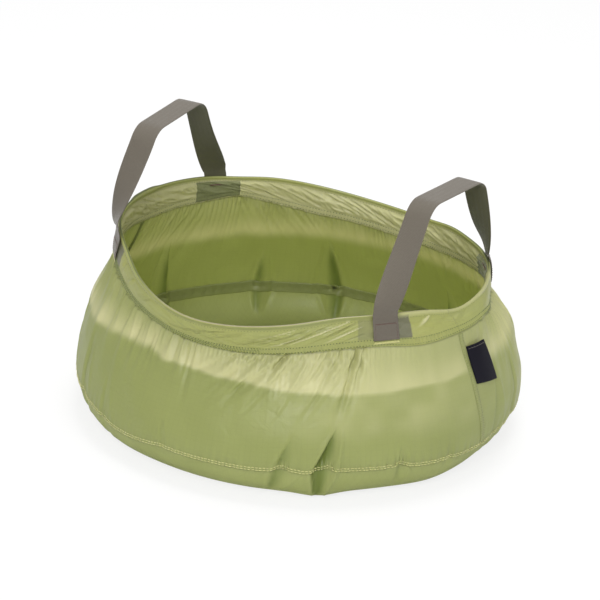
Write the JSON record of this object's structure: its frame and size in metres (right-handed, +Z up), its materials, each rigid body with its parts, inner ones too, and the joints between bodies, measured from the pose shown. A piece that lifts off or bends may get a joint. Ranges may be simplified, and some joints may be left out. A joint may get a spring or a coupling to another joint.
{
  "type": "collapsible camp washbasin",
  "caption": "Collapsible round camp washbasin of thin coated cloth: a bulging bowl hangs from a spring wire rim in a folded collar, with a webbing handle on each side.",
  "frame": {"origin": "middle of the flat round that the basin stands on", "axes": "+Z up through the mouth; +X to the handle beside the label's seam, -X to the other handle"},
  "size_m": [0.3617, 0.3604, 0.2275],
  "materials": {
    "green_cloth": "thin coated ripstop cloth, slightly glossy and see-through, light olive green",
    "floor_cloth": "coated cloth, light olive green",
    "seam_cloth": "folded cloth and seam tape, olive green",
    "patch_cloth": "dark olive reinforcement cloth",
    "webbing": "flat woven webbing, taupe grey",
    "label_cloth": "black woven label, bare",
    "wire_steel": "spring wire",
    "crimp_metal": "crimped tube"
  },
  "bodies": {
    "base": {"floor_panel": "floor_cloth", "floor_seam_tape": "seam_cloth", "front_wall_panel": "green_cloth", "rear_wall_panel": "green_cloth", "right_side_seam": "seam_cloth", "left_side_seam": "seam_cloth", "side_label": "label_cloth"},
    "rim": {"front_collar": "green_cloth", "rear_collar": "green_cloth", "rim_hoop": "wire_steel", "hoop_ferrule": "crimp_metal", "front_right_patch": "patch_cloth", "rear_right_patch": "patch_cloth", "front_left_patch": "patch_cloth", "rear_left_patch": "patch_cloth", "front_right_sewn_end": "webbing", "rear_right_sewn_end": "webbing", "front_left_sewn_end": "webbing", "rear_left_sewn_end": "webbing"},
    "right_handle": {"right_handle_strap": "webbing"},
    "left_handle": {"left_handle_strap": "webbing"}
  },
  "joints": [
    {"name": "rim_collapse", "type": "slide", "parent": "base", "child": "rim", "axis": [0, 0, -1], "range_m": [0, 0.09], "deforming": ["front_wall_panel", "rear_wall_panel", "right_side_seam", "left_side_seam", "side_label"]},
    {"name": "right_handle_swing", "type": "hinge", "parent": "rim", "child": "right_handle", "pos_m": [0.12351, 0.00002, 0.14747], "axis": [0, 0.9972, -0.0744], "range_deg": [-90, 90]},
    {"name": "left_handle_swing", "type": "hinge", "parent": "rim", "child": "left_handle", "pos_m": [-0.12321, -0.0108, 0.15456], "axis": [0.0874, -0.9961, 0.0127], "range_deg": [-90, 90]}
  ]
}
